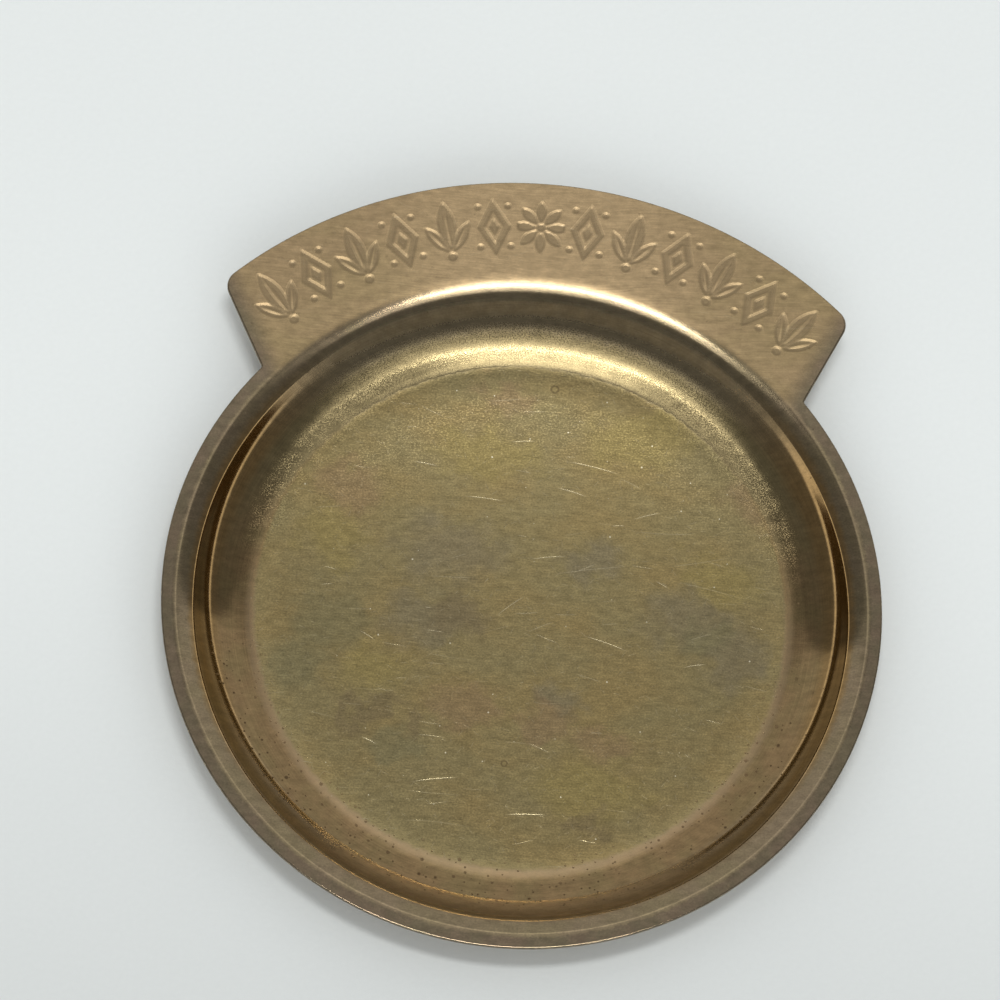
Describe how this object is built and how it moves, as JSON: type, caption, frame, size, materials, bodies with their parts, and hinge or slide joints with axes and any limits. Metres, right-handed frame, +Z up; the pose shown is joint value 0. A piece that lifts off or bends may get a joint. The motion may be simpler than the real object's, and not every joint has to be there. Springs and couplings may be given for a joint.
{
  "type": "coin tray",
  "caption": "Shallow round pressed brass coin tray with a flat rim, an arched tab above it and a felt pad under its floor.",
  "frame": {"origin": "the point of the resting plane under the dish's centre, in the middle of the felt pad's underside", "axes": "+Z up, +Y from the dish's centre towards the middle of the tab, +X to the right seen from the dish's side"},
  "size_m": [0.14, 0.1584, 0.0102],
  "materials": {
    "brass": "aged satin, brushed along the rim's width",
    "felt": "matte pressed felt"
  },
  "bodies": {
    "root": {"tray_pan": "brass", "felt_pad": "felt"}
  },
  "joints": []
}
